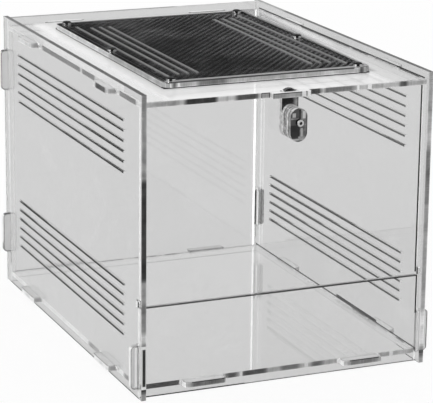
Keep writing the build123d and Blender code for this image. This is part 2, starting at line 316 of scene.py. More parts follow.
# the knob's three rear discs: painted light in the tones of the flank that faces left and of the one that
# # faces down, and painted shade on their arrises
for number, (leftTone, lowerTone) in enumerate(((0.85, 1.0), (0.6, 1.0), (0.85, 0.9)), 1):
    edgeLooks["latch_knob_layer_%d" % number] = {
        "broad": "Y", "rim": -0.35, "patches": 0.17, "patchSize": 0.004,
        "X-": (0.7, leftTone, []), "X+": (0.7, 0.35, []), "Z-": (0.7, lowerTone, []), "Z+": (0.6, 0.9, [])}
# broad faces that stand out past the walls carry painted light, whiter, with a grey outline of painted shade
tabLook = {
    "pieces": ("back_panel", "floor_panel", "top_panel", "lower_front_panel", "front_door"),
    "share": 0.6,
    "tone": 0.93,
    "outline": 0.002,  # metres wide
    "outlineTurn": (0.998, 0.97),  # how alike the rounded and the flat normal are, from no outline to full
    "outlineShare": 0.9,
    "outlineTone": 0.32,
}
# the 2 mm air slots: painted shade on their floors reads as dark lines when met from outside, on their ceilings
# only faintly
slotLook = {
    "room": {"Y": (30.2, 380.2), "Z": (44, 270)},  # mm from the case's front and bottom
    "share": 1.0,
    "ceiling": 0.3,
    "tone": 0.0,
}
facing = 0.7  # a face points a way when its normal reaches this far along it
hair = 0.0002  # metres of room when two places are compared
topSetback = 0.0044  # metres from the case's front to the top panel's front edge
caseLow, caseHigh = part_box("left_side_panel")[0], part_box("right_side_panel")[1]
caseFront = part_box("lower_front_panel")[0][1]
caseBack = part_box("back_panel")[1][1]


def wayMasks(tree, normal):
    # for each of the six ways, 1 on the faces that point along it and 0 on the others
    masks = {}
    for axis in "XYZ":
        for mark, sign in (("-", -1), ("+", 1)):
            along = addNode(tree, "ShaderNodeMath", {0: normal.outputs[axis], 1: sign}, operation="MULTIPLY")
            masks[axis + mark] = addNode(tree, "ShaderNodeMath", {
                0: along.outputs[0], 1: facing}, operation="GREATER_THAN").outputs[0]
    return masks


def withinRoom(tree, place, room, mask):
    # the mask stays only between two places on each axis that the room names, in mm from the case's corner
    for axis, (begin, finish) in room.items():
        start = caseLow["XYZ".index(axis)]
        inside = addNode(tree, "ShaderNodeMath", {
            0: place.outputs[axis], 1: start + (begin + finish) / 2000, 2: (finish - begin) / 2000},
            operation="COMPARE")
        mask = addNode(tree, "ShaderNodeMath", {
            0: inside.outputs[0], 1: mask}, operation="MULTIPLY").outputs[0]
    return mask


def paintedOver(tree, share, tone, mask, newShare, newTone):
    # where the mask is 1, share and tone give way to new ones
    return [addNode(tree, "ShaderNodeMix", {0: mask, 2: old, 3: new}).outputs[0]
            for old, new in ((share, newShare), (tone, newTone))]


def toneAlong(tree, place, lengthwise, base, stretches):
    # a ramp along the case: the base tone, and each stretch's own tone between two soft turns
    number = "XYZ".index(lengthwise)
    start, span = caseLow[number], caseHigh[number] - caseLow[number]
    reach = addNode(tree, "ShaderNodeMapRange", {
        "Value": place.outputs[lengthwise], "From Min": start, "From Max": start + span})
    ramp = addNode(tree, "ShaderNodeValToRGB", {0: reach.outputs[0]})
    elements = ramp.color_ramp.elements
    elements.remove(elements[1])
    elements[0].color = (base, base, base, 1)
    for begin, finish, level in stretches:
        soft = min(acrylicLook["soft"], (finish - begin) / 4)
        turns = (begin - soft, base), (begin + soft, level), (finish - soft, level), (finish + soft, base)
        for at, tone in turns:
            stop = elements.new(min(max(at, 0) / 1000 / span, 1.0))
            stop.color = (tone, tone, tone, 1)
    return ramp.outputs[0]


def sheetTextures(tree, look, coordinates, place, low, high):
    # changes of tone: cloudy patches plus striations across the sheet, and the same with a painted highlight on
    # the arrises
    change = look.get("patches", acrylicLook["patches"])
    patches = addNode(tree, "ShaderNodeTexNoise", {
        "Vector": coordinates.outputs["Object"], "Scale": 1 / look.get("patchSize", acrylicLook["patch"]),
        "Detail": 2.0})
    cloudy = addNode(tree, "ShaderNodeMapRange", {
        "Value": patches.outputs["Fac"], "From Min": 0.35, "From Max": 0.65,
        "To Min": -change, "To Max": change})
    index = "XYZ".index(look["broad"])
    scale = [1 / acrylicLook["striation"]] * 3
    scale[index] /= acrylicLook["straightness"]
    grain = addNode(tree, "ShaderNodeMapping", {"Vector": coordinates.outputs["Object"], "Scale": scale})
    striae = addNode(tree, "ShaderNodeTexNoise", {"Vector": grain.outputs[0], "Scale": 1.0, "Detail": 1.0})
    combed = addNode(tree, "ShaderNodeMapRange", {
        "Value": striae.outputs["Fac"], "From Min": 0.3, "From Max": 0.7,
        "To Min": -acrylicLook["combing"], "To Max": acrylicLook["combing"]})
    plain = addNode(tree, "ShaderNodeMath", {0: combed.outputs[0], 1: cloudy.outputs[0]}, operation="ADD")
    middle, half = (low[index] + high[index]) / 2, (high[index] - low[index]) / 2
    across = addNode(tree, "ShaderNodeMath", {
        0: place.outputs[look["broad"]], 1: middle}, operation="SUBTRACT")
    across = addNode(tree, "ShaderNodeMath", {0: across.outputs[0]}, operation="ABSOLUTE")
    start, end = acrylicLook["rimFrom"]
    rim = addNode(tree, "ShaderNodeMapRange", {
        "Value": across.outputs[0], "From Min": half * start, "From Max": half * end,
        "To Min": 0.0, "To Max": look.get("rim", acrylicLook["rim"])})
    rimmed = addNode(tree, "ShaderNodeMath", {0: rim.outputs[0], 1: plain.outputs[0]}, operation="ADD")
    return plain.outputs[0], rimmed.outputs[0], striae


def edgeFinish(tree, look, place, masks, low, high, plain, rimmed):
    # share and tone summed over the ways that the look names
    share, tone = 0.0, 0.0
    for way, faces in masks.items():
        if way not in look:
            continue
        axis = way[0]
        part, base, stretches = look[way]
        if way in look.get("outlined", ()):
            edge = (high if way[1] == "+" else low)["XYZ".index(axis)]
            outer = addNode(tree, "ShaderNodeMath", {
                0: place.outputs[axis], 1: edge, 2: hair}, operation="COMPARE").outputs[0]
            inner = addNode(tree, "ShaderNodeMath", {0: faces, 1: outer}, operation="SUBTRACT")
            inner = addNode(tree, "ShaderNodeMath", {
                0: inner.outputs[0], 1: 0.0}, operation="MAXIMUM").outputs[0]
            faces = addNode(tree, "ShaderNodeMath", {0: faces, 1: outer}, operation="MULTIPLY").outputs[0]
            innerShare, innerTone = look["innerFar" if way == "X+" and "innerFar" in look else "inner"]
            share = addNode(tree, "ShaderNodeMath", {
                0: inner, 1: innerShare, 2: share}, operation="MULTIPLY_ADD").outputs[0]
            tone = addNode(tree, "ShaderNodeMath", {
                0: inner, 1: innerTone, 2: tone}, operation="MULTIPLY_ADD").outputs[0]
        share = addNode(tree, "ShaderNodeMath", {
            0: faces, 1: part, 2: share}, operation="MULTIPLY_ADD").outputs[0]
        lengthwise = "XYZ".replace(look["broad"], "").replace(axis, "")[0]
        own = addNode(tree, "ShaderNodeMath", {
            0: toneAlong(tree, place, lengthwise, base, stretches),
            1: plain if axis == look["broad"] else rimmed}, operation="ADD").outputs[0]
        tone = addNode(tree, "ShaderNodeMath", {
            0: faces, 1: own, 2: tone}, operation="MULTIPLY_ADD").outputs[0]
    return share, tone


def pastWalls(tree, name, broad, place):
    # 1 beyond the side panels' outer faces and, for the floor and the top, beyond the front and the back
    sideways = addNode(tree, "ShaderNodeMath", {0: place.outputs["X"]}, operation="ABSOLUTE")
    mask = addNode(tree, "ShaderNodeMath", {
        0: sideways.outputs[0], 1: caseHigh[0] + hair}, operation="GREATER_THAN").outputs[0]
    if broad == "Z":
        front = caseFront if name == "floor_panel" else caseLow[1] + topSetback
        for limit, operation in ((front - hair, "LESS_THAN"), (caseBack + hair, "GREATER_THAN")):
            past = addNode(tree, "ShaderNodeMath", {0: place.outputs["Y"], 1: limit}, operation=operation)
            mask = addNode(tree, "ShaderNodeMath", {
                0: mask, 1: past.outputs[0]}, operation="MAXIMUM").outputs[0]
    return mask


def nearOutline(tree, geometry):
    # 1 where a normal rounded over the outline's width turns away from the flat one
    rounded = addNode(tree, "ShaderNodeBevel", {"Radius": tabLook["outline"]}, samples=6)
    alike = addNode(tree, "ShaderNodeVectorMath", {
        0: rounded.outputs[0], 1: geometry.outputs["True Normal"]}, operation="DOT_PRODUCT")
    none, full = tabLook["outlineTurn"]
    return addNode(tree, "ShaderNodeMapRange", {
        "Value": alike.outputs["Value"], "From Min": none, "From Max": full}).outputs[0]


def sheetHaze(tree, look, coordinates, place, flat):
    # smears from wiping, plus a film that shows at low angles and may fade towards the sheet's sides
    wiped = addNode(tree, "ShaderNodeTexNoise", {
        "Vector": coordinates.outputs["Object"], "Scale": 1 / acrylicLook["smear"], "Detail": 3.0,
        "Distortion": 1.5})
    smears = addNode(tree, "ShaderNodeMapRange", {
        "Value": wiped.outputs["Fac"], "From Min": 0.52, "From Max": 0.72,
        "To Min": 0.0, "To Max": acrylicLook["smears"]})
    grazing = addNode(tree, "ShaderNodeLayerWeight", {"Blend": 0.5})
    least, most = acrylicLook["filmFacing"]
    film = addNode(tree, "ShaderNodeMapRange", {
        "Value": grazing.outputs["Facing"], "From Min": least, "From Max": most,
        "To Min": 0.0, "To Max": look.get("film", 0.0)})
    if "filmReach" in look:
        near, far, shift = look["filmReach"]
        sideways = addNode(tree, "ShaderNodeMath", {0: place.outputs["X"], 1: shift}, operation="ADD")
        sideways = addNode(tree, "ShaderNodeMath", {0: sideways.outputs[0]}, operation="ABSOLUTE")
        fading = addNode(tree, "ShaderNodeMapRange", {
            "Value": sideways.outputs[0], "From Min": near, "From Max": far,
            "To Min": 1.0, "To Max": acrylicLook["filmLeft"]})
        film = addNode(tree, "ShaderNodeMath", {
            0: film.outputs[0], 1: fading.outputs[0]}, operation="MULTIPLY")
    haze = addNode(tree, "ShaderNodeMath", {0: smears.outputs[0], 1: film.outputs[0]}, operation="ADD")
    return addNode(tree, "ShaderNodeMath", {0: haze.outputs[0], 1: flat}, operation="MULTIPLY").outputs[0]


def lightThrough(tree, surface):
    # shadow rays pass almost unhindered, all others meet the surface
    through = addNode(tree, "ShaderNodeBsdfTransparent", {"Color": toLinear(acrylicLook["shadow"])})
    path = addNode(tree, "ShaderNodeLightPath")
    mix = addNode(tree, "ShaderNodeMixShader", {
        0: path.outputs["Is Shadow Ray"], 1: surface.outputs[0], 2: through.outputs[0]})
    addNode(tree, "ShaderNodeOutputMaterial", {"Surface": mix.outputs[0]})


def clearAcrylic(name):
    # clear = glass that lets lamps through; cut = a rough opaque finish whose tone runs from dark to white
    # # along the edge as painted reflections and shade; which of them shows follows the way each face points
    # and
    # # its place on the sheet
    look = edgeLooks[name]
    broad = look["broad"]
    low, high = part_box(name)
    material, tree = newMaterial("laserCutAcrylic." + name)
    coordinates = addNode(tree, "ShaderNodeTexCoord")
    normal = addNode(tree, "ShaderNodeSeparateXYZ", {0: coordinates.outputs["Normal"]})
    place = addNode(tree, "ShaderNodeSeparateXYZ", {0: coordinates.outputs["Object"]})
    geometry = addNode(tree, "ShaderNodeNewGeometry")
    outside = addNode(tree, "ShaderNodeMath", {
        0: 1.0, 1: geometry.outputs["Backfacing"]}, operation="SUBTRACT").outputs[0]
    masks = wayMasks(tree, normal)
    flat = addNode(tree, "ShaderNodeMath", {0: normal.outputs[broad]}, operation="ABSOLUTE")
    flat = addNode(tree, "ShaderNodeMath", {
        0: flat.outputs[0], 1: facing}, operation="GREATER_THAN").outputs[0]
    plain, rimmed, striae = sheetTextures(tree, look, coordinates, place, low, high)
    share, tone = edgeFinish(tree, look, place, masks, low, high, plain, rimmed)
    if name in tabLook["pieces"]:
        isTab = addNode(tree, "ShaderNodeMath", {
            0: flat, 1: pastWalls(tree, name, broad, place)}, operation="MULTIPLY").outputs[0]
        share, tone = paintedOver(tree, share, tone, isTab, tabLook["share"], tabLook["tone"])
        outline = addNode(tree, "ShaderNodeMath", {
            0: nearOutline(tree, geometry), 1: isTab}, operation="MULTIPLY").outputs[0]
        share, tone = paintedOver(tree, share, tone, outline, tabLook["outlineShare"], tabLook["outlineTone"])
    # painted shade in the side panels' slots
    if broad == "X":
        for way, part, met in (("Z+", slotLook["ceiling"], 1.0), ("Z-", 0.0, 1.0), ("Y-", 0.0, 1.0),
                               ("Y+", 0.0, 1.0), ("Z+", slotLook["share"], outside)):
            isSlot = withinRoom(tree, place, slotLook["room"], masks[way])
            isSlot = addNode(tree, "ShaderNodeMath", {0: isSlot, 1: met}, operation="MULTIPLY").outputs[0]
            share, tone = paintedOver(tree, share, tone, isSlot, part, slotLook["tone"])
    for way, room, part, level in look.get("lines", []):
        onLine = addNode(tree, "ShaderNodeMath", {0: masks[way], 1: outside}, operation="MULTIPLY").outputs[0]
        share, tone = paintedOver(tree, share, tone, withinRoom(tree, place, room, onLine), part, level)
    tone = addNode(tree, "ShaderNodeMath", {0: tone, 1: 0.0}, operation="ADD", use_clamp=True)
    light = addNode(tree, "ShaderNodeMath", {
        0: tone.outputs[0], 1: acrylicLook["toneCurve"]}, operation="POWER")
    colour = addNode(tree, "ShaderNodeMix", {
        "Factor": light.outputs[0], "A": toLinear(acrylicLook["dark"]), "B": toLinear(acrylicLook["white"])},
        data_type="RGBA")
    bump = addNode(tree, "ShaderNodeBump", {
        "Height": striae.outputs["Fac"], "Strength": acrylicLook["combStrength"],
        "Distance": acrylicLook["combDepth"]})
    clear = addNode(tree, "ShaderNodeBsdfPrincipled", {
        "Base Color": toLinear(acrylicLook["body"]), "Roughness": 0.0, "IOR": acrylicLook["bend"],
        "Transmission Weight": 1.0})
    cut = addNode(tree, "ShaderNodeBsdfPrincipled", {
        "Base Color": colour.outputs["Result"], "Roughness": acrylicLook["cutRoughness"],
        "IOR": acrylicLook["bend"], "Specular IOR Level": acrylicLook["cutShine"], "Normal": bump.outputs[0]})
    sheet = addNode(tree, "ShaderNodeMixShader", {0: share, 1: clear.outputs[0], 2: cut.outputs[0]})
    dust = addNode(tree, "ShaderNodeBsdfDiffuse", {"Color": toLinear(acrylicLook["haze"])})
    sheet = addNode(tree, "ShaderNodeMixShader", {
        0: sheetHaze(tree, look, coordinates, place, flat), 1: sheet.outputs[0], 2: dust.outputs[0]})
    lightThrough(tree, sheet)
    return material


# pressed and turned steel, evenly satin with faint handling marks
steelFinish = {
    "faceTurn": (0.6, 0.8),  # from flank to face, by how far the normal reaches along the screw
    "paintedStreakEdge": (0.5, -0.1),  # cosine at which a painted reflected streak starts and is full
    "grit": 1 / 900,  # metres between faint marks
    "unevenness": (-0.06, 0.12),  # change of roughness by the marks
    "shine": 0.15,
}
# socket screws: tones of the face that points along the screw and of its flanks. The vent screws' faces are
# black,
# # and so are their flanks down to "cap" metres below their tops; the polished flanks below carry white streaks
# # round the screw, painted reflections of soft boxes with painted shade between them. The latch's screw is
# bare,
# # with a painted highlight on its face and painted shade on its flanks
screwLooks = {
    "vent": {
        "way": ("Z", 1), "faceTone": "#060606", "flankTone": "#ffffff", "roughness": 0.18, "nonMetalFace": True,
        "cap": 0.0013, "between": "#303030", "paintedStreaks": 4, "paintedStreaksFrom": -113.0},
    # painted highlight on the face, painted shade on the flanks
    "latch": {
        "way": ("Y", -1), "faceTone": "#dcdcdc", "flankTone": "#1c1c1c", "roughness": 0.2, "nonMetalFace": False},
}


def socketSteel(name, look):
    # painted reflections: streaks follow the cosine of the flank's bearing round the screw, atan2(y, x), times
    # their number
    material, tree = newMaterial(name)
    coordinates = addNode(tree, "ShaderNodeTexCoord")
    normal = addNode(tree, "ShaderNodeSeparateXYZ", {0: coordinates.outputs["Normal"]})
    axis, sign = look["way"]
    along = addNode(tree, "ShaderNodeMath", {0: normal.outputs[axis], 1: sign}, operation="MULTIPLY")
    start, end = steelFinish["faceTurn"]
    face = addNode(tree, "ShaderNodeMapRange", {
        "Value": along.outputs[0], "From Min": start, "From Max": end})
    flank = toLinear(look["flankTone"])
    if "cap" in look:
        place = addNode(tree, "ShaderNodeSeparateXYZ", {0: coordinates.outputs["Object"]})
        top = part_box("vent_screw_1")[1][2]
        cap = addNode(tree, "ShaderNodeMath", {
            0: place.outputs["Z"], 1: top - look["cap"]}, operation="GREATER_THAN")
        face = addNode(tree, "ShaderNodeMath", {0: face.outputs[0], 1: cap.outputs[0]}, operation="MAXIMUM")
        # painted reflections: white streaks round the flank, painted shade between them
        turn = addNode(tree, "ShaderNodeMath", {
            0: normal.outputs["Y"], 1: normal.outputs["X"]}, operation="ARCTAN2")
        turn = addNode(tree, "ShaderNodeMath", {
            0: turn.outputs[0], 1: look["paintedStreaks"], 2: -look["paintedStreaks"] * radians(look["paintedStreaksFrom"])},
            operation="MULTIPLY_ADD")
        wave = addNode(tree, "ShaderNodeMath", {0: turn.outputs[0]}, operation="COSINE")
        start, end = steelFinish["paintedStreakEdge"]
        paintedStreak = addNode(tree, "ShaderNodeMapRange", {
            "Value": wave.outputs[0], "From Min": start, "From Max": end})
        flank = addNode(tree, "ShaderNodeMix", {
            "Factor": paintedStreak.outputs[0], "A": toLinear(look["between"]), "B": flank},
            data_type="RGBA").outputs["Result"]
    grit = addNode(tree, "ShaderNodeTexNoise", {
        "Vector": coordinates.outputs["Object"], "Scale": 1 / steelFinish["grit"], "Detail": 2.0})
    least, most = [look["roughness"] + change for change in steelFinish["unevenness"]]
    rough = addNode(tree, "ShaderNodeMapRange", {
        "Value": grit.outputs["Fac"], "To Min": least, "To Max": most})
    colour = addNode(tree, "ShaderNodeMix", {
        "Factor": face.outputs[0], "A": flank, "B": toLinear(look["faceTone"])}, data_type="RGBA")
    bare = 1.0
    if look["nonMetalFace"]:
        bare = addNode(tree, "ShaderNodeMath", {0: 1.0, 1: face.outputs[0]}, operation="SUBTRACT").outputs[0]
    body = addNode(tree, "ShaderNodeBsdfPrincipled", {
        "Base Color": colour.outputs["Result"], "Roughness": rough.outputs[0], "Metallic": bare,
        "Specular IOR Level": steelFinish["shine"]})
    addNode(tree, "ShaderNodeOutputMaterial", {"Surface": body.outputs[0]})
    return material


ventSteel = socketSteel("blackTopSteelPaintedStreaks", screwLooks["vent"])
latchSteel = socketSteel("bareSteelPaintedHighlightShade", screwLooks["latch"])
for name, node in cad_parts.items():
    if name in edgeLooks:
        chosen = clearAcrylic(name)
    elif name.startswith("latch_"):
        chosen = latchSteel
    else:
        chosen = ventSteel
    node.data.materials.clear()
    node.data.materials.append(chosen)
print("materials set")

# black painted wire cloth: the crowns of the weave carry a painted sheen, stronger in some patches than others
weave = {
    "pitch": (0.0022, 0.0025),  # metres between wires along X and Y; the real 1 mm or so doesn't show
    "wire": 0.00075,  # half a wire's width
    "flatness": 0.4,  # half its height, as a share of "wire"
    "lift": 0.25,  # how far it goes up and down in the weave, as a share of "wire"
    "sides": 6,
    "paintedSheenSpread": (2.8, 0.6, 0.0),  # per metre: the painted sheen grows towards the right and the back
    "paintedCrownSheen": (0.3, 0.85),  # level at which the painted sheen starts and is full
    "sheen": (0.4, 0.7, 0.15),  # Layer Weight values between which the crowns' painted sheen comes in; least sheen
    "crown": (0.3, 0.6),  # heights over the net's middle where the painted sheen starts and is full, shares of "wire"
    "hemInset": (0.0085, 0.0045, 0.0055),  # hem line from the net's back, front and sides
    "hemWidth": 0.0012,
    "borderInset": (0.0, 0.002, 0.0004),
    "borderWidth": 0.0025,
}


def netWire(name, ground, crown, patchy):
    # colour goes from ground to crown with height in the weave, painted sheen by place, and low angle, all
    # multiplied
    material, tree = newMaterial(name)
    coordinates = addNode(tree, "ShaderNodeTexCoord")
    place = addNode(tree, "ShaderNodeSeparateXYZ", {0: coordinates.outputs["Object"]})
    low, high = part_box("vent_net")
    start, end = [(low[2] + high[2]) / 2 + weave["wire"] * step for step in weave["crown"]]
    raised = addNode(tree, "ShaderNodeMapRange", {
        "Value": place.outputs["Z"], "From Min": start, "From Max": end})
    patches = addNode(tree, "ShaderNodeTexNoise", {
        "Vector": coordinates.outputs["Object"], "Scale": 9.0, "Detail": 1.0})  # patches about 110 mm across
    paintedSheenSpread = addNode(tree, "ShaderNodeVectorMath", {
        0: coordinates.outputs["Object"], 1: weave["paintedSheenSpread"]}, operation="DOT_PRODUCT")
    paintedSheenSpread = addNode(tree, "ShaderNodeMath", {
        0: paintedSheenSpread.outputs["Value"], 1: patches.outputs["Fac"]}, operation="ADD")
    paintedCrownSheen = addNode(tree, "ShaderNodeMapRange", {
        "Value": paintedSheenSpread.outputs[0], "From Min": weave["paintedCrownSheen"][0], "From Max": weave["paintedCrownSheen"][1],
        "To Min": 1 - patchy, "To Max": 1.0})
    level = addNode(tree, "ShaderNodeMath", {
        0: raised.outputs[0], 1: paintedCrownSheen.outputs[0]}, operation="MULTIPLY")
    grazing = addNode(tree, "ShaderNodeLayerWeight", {"Blend": 0.5})
    start, end, least = weave["sheen"]
    sheen = addNode(tree, "ShaderNodeMapRange", {
        "Value": grazing.outputs["Facing"], "From Min": start, "From Max": end,
        "To Min": least, "To Max": 1.0})
    level = addNode(tree, "ShaderNodeMath", {0: level.outputs[0], 1: sheen.outputs[0]}, operation="MULTIPLY")
    colour = addNode(tree, "ShaderNodeMix", {
        "Factor": level.outputs[0], "A": toLinear(ground), "B": toLinear(crown)}, data_type="RGBA")
    body = addNode(tree, "ShaderNodeBsdfPrincipled", {
        "Base Color": colour.outputs["Result"], "Roughness": 0.5, "Specular IOR Level": 0.2})
    addNode(tree, "ShaderNodeOutputMaterial", {"Surface": body.outputs[0]})
    return material


def placePiece(name, verts, faces, material):
    # a mesh straight from arrays, with as many corners to each face as the second array has columns
    mesh = bpy.data.meshes.new(name)
    mesh.vertices.add(len(verts))
    mesh.vertices.foreach_set("co", np.asarray(verts, dtype=np.float64).ravel())
    mesh.loops.add(faces.size)
    mesh.loops.foreach_set("vertex_index", faces.ravel().astype(np.int32))
    mesh.polygons.add(len(faces))
    mesh.polygons.foreach_set("loop_start", np.arange(len(faces), dtype=np.int32) * faces.shape[1])
    mesh.update(calc_edges=True)
    mesh.materials.append(material)
    piece = bpy.data.objects.new(name, mesh)
    scene.collection.objects.link(piece)
    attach(piece, "case")
    return piece


def wovenWires(name, alongY, material):
    # each wire runs straight in plan, and its height goes over two crossing wires and under the next two,
    # one wire later on each neighbour, which gives the slanting ribs of a twill
    low, high = [np.array(corner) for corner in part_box("vent_net")]
    across, along = (0, 1) if alongY else (1, 0)
    count, steps = [int((high[axis] - low[axis]) / weave["pitch"][axis]) for axis in (across, along)]
    middle = (low + high) / 2
    lanes = middle[across] + (np.arange(count) - (count - 1) / 2) * weave["pitch"][across]
    crossings = middle[along] + (np.arange(steps) - (steps - 1) / 2) * weave["pitch"][along]
    phase = (np.arange(count)[:, None] - np.arange(steps)[None, :]) % 4
    if not alongY:
        phase = (-phase) % 4
    up = np.where(phase < 2, 1.0, -1.0) * (1 if alongY else -1)
    ring = np.arange(weave["sides"]) * 2 * np.pi / weave["sides"]
    points = np.zeros((count, steps, weave["sides"], 3))
    points[..., across] = lanes[:, None, None] + np.cos(ring) * weave["wire"]
    points[..., along] = crossings[None, :, None]
    rise = up[:, :, None] * weave["lift"] + np.sin(ring) * weave["flatness"]
    points[..., 2] = middle[2] + weave["wire"] * rise
    index = np.arange(points.size // 3).reshape(points.shape[:3])
    after = np.roll(index, -1, axis=2)
    faces = np.stack([index[:, :-1], after[:, :-1], after[:, 1:], index[:, 1:]], axis=-1).reshape(-1, 4)
    if alongY:
        faces = faces[:, ::-1]
    return placePiece(name, points.reshape(-1, 3), faces, material)


def flatFrame(name, inset, width, material):
    # four corners of an outer and an inner rectangle, at a lower and an upper height
    low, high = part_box("vent_net")
    back, front, side = inset
    outer = np.array([[low[0] + side, low[1] + front], [high[0] - side, low[1] + front],
                      [high[0] - side, high[1] - back], [low[0] + side, high[1] - back]])
    inner = outer + np.array([[1, 1], [-1, 1], [-1, -1], [1, -1]]) * width
    rings = [np.column_stack([plan, np.full(4, height)]) for plan, height in (
        (outer, low[2]), (outer, high[2]), (inner, high[2]), (inner, low[2]))]
    index = np.arange(16).reshape(4, 4)
    near, far = np.roll(index, -1, axis=1), np.roll(index, -1, axis=0)
    both = np.roll(far, -1, axis=1)
    faces = np.stack([index, near, both, far], axis=-1).reshape(-1, 4)
    return placePiece(name, np.concatenate(rings), faces, material)


wire = netWire("paintedWire", "#040405", "#f0f0f2", 0.88)
crossWire = netWire("paintedCrossWire", "#030304", "#1c1c1e", 0.7)  # its crowns take little painted sheen, so it reads darker as painted shade
hem = netWire("rolledHemWire", "#606062", "#b0b0b2", 0.3)  # rolled flat, worn to grey all along
netPieces = [
    wovenWires("airNetWarp", True, wire),
    wovenWires("airNetWeft", False, crossWire),
    flatFrame("airNetHem", weave["hemInset"], weave["hemWidth"], hem),
    flatFrame("airNetBorder", weave["borderInset"], weave["borderWidth"], crossWire),
]
for piece in netPieces:
    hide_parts("vent_net")
print("air net woven")

# clear solvent cement with a white rim, partly its own white and partly a painted highlight; the right bead
# also glows, a painted light
bead = {
    "leg": 0.005,  # metres that the cement reaches out on both panels
    "line": 0.0017,  # white line at its rim
    "gap": 0.00005,  # between the cement and the panels
    "steps": 10,
    "clear": "#fefefe",
    "white": "#f8f8f8",
    "bend": 1.47,
    "glow": 1.0,  # emission in the right bead, a painted glow
    "leftWhiteShare": 0.3,  # share of white in the left bead, which takes less of the painted highlight
}


def cementLook(name, glow, whiteness):
    # white near the rim on the side panel's side, partly a painted highlight, with faint ripples, and clear
    # elsewhere
    material, tree = newMaterial(name)
    coordinates = addNode(tree, "ShaderNodeTexCoord")
    place = addNode(tree, "ShaderNodeSeparateXYZ", {0: coordinates.outputs["Object"]})
    sideways = addNode(tree, "ShaderNodeMath", {0: place.outputs["X"]}, operation="ABSOLUTE")
    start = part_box("right_side_panel")[0][0] - bead["leg"]
    rim = addNode(tree, "ShaderNodeMapRange", {
        "Value": sideways.outputs[0],
        "From Min": start + bead["line"], "From Max": start + bead["line"] * 1.3,
        "To Min": 1.0, "To Max": 0.0})
    grain = addNode(tree, "ShaderNodeTexNoise", {
        "Vector": coordinates.outputs["Object"], "Scale": 120.0, "Detail": 2.0})  # ripples about 8 mm long
    mottled = addNode(tree, "ShaderNodeMapRange", {
        "Value": grain.outputs["Fac"], "From Min": 0.3, "From Max": 0.7,
        "To Min": 0.9 * whiteness, "To Max": whiteness})
    share = addNode(tree, "ShaderNodeMath", {0: rim.outputs[0], 1: mottled.outputs[0]}, operation="MULTIPLY")
    clear = addNode(tree, "ShaderNodeBsdfTransparent", {"Color": toLinear(bead["clear"])})
    # the emission is a painted glow, no lamp
    white = addNode(tree, "ShaderNodeBsdfPrincipled", {
        "Base Color": toLinear(bead["white"]), "Roughness": 0.5, "IOR": bead["bend"],
        "Emission Color": toLinear("#ffffff"), "Emission Strength": glow})
    cement = addNode(tree, "ShaderNodeMixShader", {
        0: share.outputs[0], 1: clear.outputs[0], 2: white.outputs[0]})
    lightThrough(tree, cement)
    return material


def cornerBead(name, side, material):
    # plan: a quarter circle hollow towards the room, closed at the corner; carried up from floor to roof
    steps = bead["steps"]
    angle = np.linspace(0, np.pi / 2, steps)
    corner = np.array([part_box("right_side_panel")[0][0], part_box("back_panel")[0][1]]) - bead["gap"]
    plan = corner - bead["leg"] + bead["leg"] * np.column_stack([np.sin(angle), np.cos(angle)])
    plan = np.vstack([plan, corner]) * np.array([side, 1])
    bottom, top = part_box("floor_panel")[1][2] + bead["gap"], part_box("top_panel")[0][2] - bead["gap"]
    verts = np.concatenate([np.column_stack([plan, np.full(len(plan), height)]) for height in (bottom, top)])
    around = np.arange(len(plan))
    after = np.roll(around, -1)
    walls = np.stack([around, after, after + len(plan), around + len(plan)], axis=-1)
    fan = around[:-2]
    ends = np.stack([np.full(len(fan), steps), fan, fan + 1], axis=-1)
    faces = np.concatenate([
        walls[:, [0, 1, 2]], walls[:, [0, 2, 3]], ends[:, ::-1], ends + len(plan)])
    if side > 0:
        faces = faces[:, ::-1]
    return placePiece(name, verts, faces, material)


cornerBead("cementBeadLeft", -1, cementLook("solventCementLessHighlight", 0.0, bead["leftWhiteShare"]))
cornerBead("cementBeadRight", 1, cementLook("solventCementPaintedGlow", bead["glow"], 1.0))
print("cement beads laid")

studio = {
    "table": "#cfcfcf",  # what the sheet and the steel show of the table and of the room at its level
    "band": 0.72,  # room from the table's level up to the soft boxes
    "bandFrom": (4.5, 7.5),  # degrees above level over which it takes over from the table
    "dome": 1.0,
    "domeFrom": (24.0, 30.0),
    "cardEdge": 0.04,  # softness of a card's sides, as a share of its half width
    "floorSize": 14.0,
    "floorPaint": "#f3f3f3",
    "floorDrop": 0.0003,  # keeps the case's feet clear of the table, so that their dark undersides show
    "floorGlow": 0.9,  # share of the floor that is plain light; the rest is paint, which takes the shadow
    "keyFrom": (-0.85, -0.3, 0.43),
    "keyStrength": 1.0,
    "keyAngle": 30.0,
}
